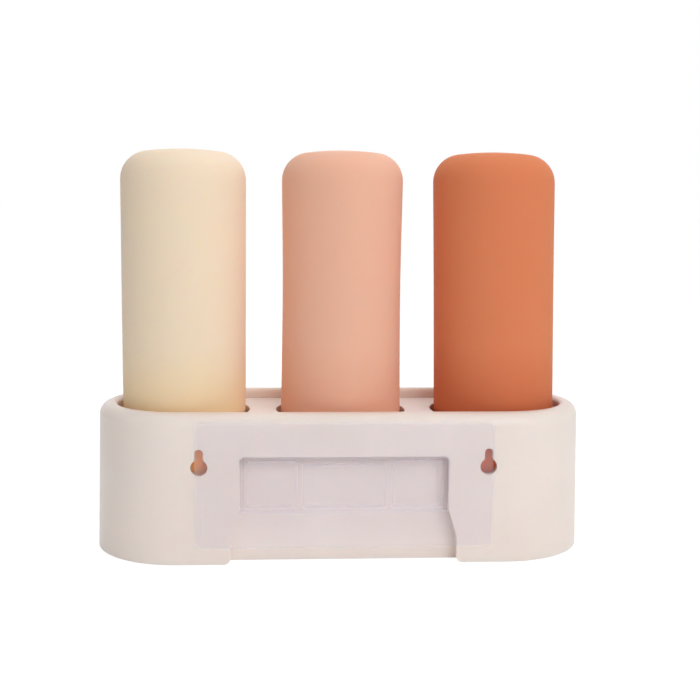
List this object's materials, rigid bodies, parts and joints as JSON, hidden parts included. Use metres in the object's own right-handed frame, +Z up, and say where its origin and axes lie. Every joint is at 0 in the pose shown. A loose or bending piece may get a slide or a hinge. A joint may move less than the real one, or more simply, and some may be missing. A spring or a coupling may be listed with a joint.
{
  "type": "wall-mounted silicone bottle set",
  "caption": "Soft silicone squeeze bottles stored head down in a round-ended wall holder, with a clear adhesive bracket and keyholes in its back.",
  "frame": {"origin": "on the surface it stands on, under the middle of the holder", "axes": "+Z up, +X along the row of bottles, -Y towards the wall"},
  "size_m": [0.202, 0.0724, 0.163],
  "materials": {
    "cream_plastic": "satin",
    "screw_steel": "bright",
    "clear_plastic": "polished, clear",
    "milky_film": "slightly milky",
    "clear_film": "clear",
    "silicone_yellow": "satin, slightly translucent",
    "silicone_pink": "satin, slightly translucent",
    "silicone_terracotta": "satin, slightly translucent",
    "neck_plastic": "natural, slightly translucent",
    "clear_silicone": "soft, translucent",
    "cap_plastic": "satin"
  },
  "bodies": {
    "holder": {"holder_shell": "cream_plastic", "seat_plate": "cream_plastic", "seat_screws": "screw_steel"},
    "bracket": {"wall_bracket": "clear_plastic", "adhesive_sheet": "milky_film", "release_liner": "clear_film"},
    "yellow_bottle": {"bottle_yellow": "silicone_yellow", "neck_ring_yellow": "neck_plastic"},
    "yellow_valve": {"no_drip_valve_yellow": "clear_silicone", "valve_retainer_yellow": "neck_plastic"},
    "yellow_cap": {"screw_cap_yellow": "cap_plastic"},
    "yellow_lid": {"flip_lid_yellow": "cap_plastic"},
    "pink_bottle": {"bottle_pink": "silicone_pink", "neck_ring_pink": "neck_plastic"},
    "pink_valve": {"no_drip_valve_pink": "clear_silicone", "valve_retainer_pink": "neck_plastic"},
    "pink_cap": {"screw_cap_pink": "cap_plastic"},
    "pink_lid": {"flip_lid_pink": "cap_plastic"},
    "terracotta_bottle": {"bottle_terracotta": "silicone_terracotta", "neck_ring_terracotta": "neck_plastic"},
    "terracotta_valve": {"no_drip_valve_terracotta": "clear_silicone", "valve_retainer_terracotta": "neck_plastic"},
    "terracotta_cap": {"screw_cap_terracotta": "cap_plastic"},
    "terracotta_lid": {"flip_lid_terracotta": "cap_plastic"}
  },
  "joints": [
    {"name": "bracket_slide", "type": "slide", "parent": "holder", "child": "bracket", "axis": [0, 0, -1], "range_m": [0, 0.05]},
    {"name": "yellow_lift", "type": "slide", "parent": "holder", "child": "yellow_bottle", "axis": [0, 0, 1], "range_m": [0, 0.1]},
    {"name": "yellow_cap_travel", "type": "slide", "parent": "yellow_bottle", "child": "yellow_valve", "axis": [0, 0, -1], "range_m": [0, 0.0038]},
    {"name": "yellow_cap_turn", "type": "hinge", "parent": "yellow_valve", "child": "yellow_cap", "pos_m": [-0.065, 0, 0.0085], "axis": [0, 0, -1], "range_deg": [0, 450]},
    {"name": "yellow_lid_flip", "type": "hinge", "parent": "yellow_cap", "child": "yellow_lid", "pos_m": [-0.065, -0.0156, 0.0085], "axis": [-1, 0, 0], "range_deg": [0, 110]},
    {"name": "pink_lift", "type": "slide", "parent": "holder", "child": "pink_bottle", "axis": [0, 0, 1], "range_m": [0, 0.1]},
    {"name": "pink_cap_travel", "type": "slide", "parent": "pink_bottle", "child": "pink_valve", "axis": [0, 0, -1], "range_m": [0, 0.0038]},
    {"name": "pink_cap_turn", "type": "hinge", "parent": "pink_valve", "child": "pink_cap", "pos_m": [0, 0, 0.0085], "axis": [0, 0, -1], "range_deg": [0, 450]},
    {"name": "pink_lid_flip", "type": "hinge", "parent": "pink_cap", "child": "pink_lid", "pos_m": [0, -0.0156, 0.0085], "axis": [-1, 0, 0], "range_deg": [0, 110]},
    {"name": "terracotta_lift", "type": "slide", "parent": "holder", "child": "terracotta_bottle", "axis": [0, 0, 1], "range_m": [0, 0.1]},
    {"name": "terracotta_cap_travel", "type": "slide", "parent": "terracotta_bottle", "child": "terracotta_valve", "axis": [0, 0, -1], "range_m": [0, 0.0038]},
    {"name": "terracotta_cap_turn", "type": "hinge", "parent": "terracotta_valve", "child": "terracotta_cap", "pos_m": [0.065, 0, 0.0085], "axis": [0, 0, -1], "range_deg": [0, 450]},
    {"name": "terracotta_lid_flip", "type": "hinge", "parent": "terracotta_cap", "child": "terracotta_lid", "pos_m": [0.065, -0.0156, 0.0085], "axis": [-1, 0, 0], "range_deg": [0, 110]}
  ],
  "couplings": [
    {"joint": "yellow_cap_travel", "follows": "yellow_cap_turn", "m_per_rad": 0.00047746},
    {"joint": "pink_cap_travel", "follows": "pink_cap_turn", "m_per_rad": 0.00047746},
    {"joint": "terracotta_cap_travel", "follows": "terracotta_cap_turn", "m_per_rad": 0.00047746}
  ]
}
